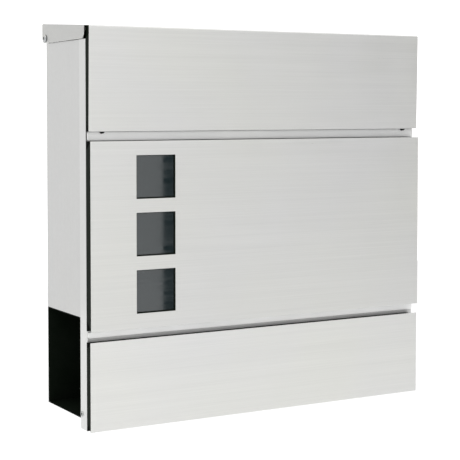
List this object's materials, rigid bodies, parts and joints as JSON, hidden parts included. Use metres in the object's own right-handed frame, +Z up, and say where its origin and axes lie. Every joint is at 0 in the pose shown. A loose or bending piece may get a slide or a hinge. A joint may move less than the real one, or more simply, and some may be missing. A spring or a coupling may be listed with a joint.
{
  "type": "wall mounted mailbox",
  "caption": "Flat wall mailbox with a lift-up lid over a letter slot, a fold-down door with square windows, a cam lock and an open-ended newspaper compartment.",
  "frame": {"origin": "centre of the rectangle of four wall screw holes, on the wall's surface behind the rubber spacers", "axes": "+X to the right as seen by someone facing the box, +Y into the wall, +Z up"},
  "size_m": [0.3784, 0.117, 0.3761],
  "materials": {
    "housing_steel": "satin sheet steel",
    "brushed_skin": "fine brushed stainless",
    "black_coating": "black powder coat",
    "rubber": "matt",
    "zinc_plate": "zinc plated",
    "lock_metal": "nickel plated",
    "nylon": "matt",
    "smoked_acrylic": "glossy smoked"
  },
  "bodies": {
    "housing": {"back_panel": "housing_steel", "side_wall_left": "housing_steel", "side_wall_right": "housing_steel", "roof_panel": "housing_steel", "front_frame": "housing_steel", "mail_floor": "housing_steel", "upper_rail": "housing_steel", "lower_rail": "housing_steel", "lower_skin": "brushed_skin", "newspaper_tray": "black_coating", "lower_pan": "black_coating", "wall_spacers": "rubber", "lid_bumpers": "rubber", "door_bumpers": "rubber", "frame_rivets": "zinc_plate", "lower_pan_studs": "zinc_plate", "lower_pan_nuts": "zinc_plate", "lid_hinge_rivets": "zinc_plate", "frame_hinge_brackets": "zinc_plate", "door_hinge_pins": "zinc_plate", "lock_nut": "zinc_plate", "lock_body": "lock_metal", "lid_hinge_washers": "nylon"},
    "lid": {"lid_cover": "brushed_skin", "lid_pan": "black_coating"},
    "door": {"door_skin": "brushed_skin", "door_pan": "black_coating", "window_pane": "smoked_acrylic", "pane_strips": "black_coating", "lock_keeper": "zinc_plate", "door_hinge_lugs": "zinc_plate"},
    "lock": {"lock_plug": "lock_metal", "lock_cam": "zinc_plate", "cam_screw": "zinc_plate"}
  },
  "joints": [
    {"name": "lid_hinge", "type": "hinge", "parent": "housing", "child": "lid", "pos_m": [0, -0.0175, 0.127], "axis": [-1, 0, 0], "range_deg": [0, 80]},
    {"name": "door_hinge", "type": "hinge", "parent": "housing", "child": "door", "pos_m": [0, -0.1126, -0.1386], "axis": [1, 0, 0], "range_deg": [0, 95]},
    {"name": "lock_turn", "type": "hinge", "parent": "housing", "child": "lock", "pos_m": [0, -0.1086, 0.052], "axis": [0, 1, 0], "range_deg": [0, 90]}
  ]
}
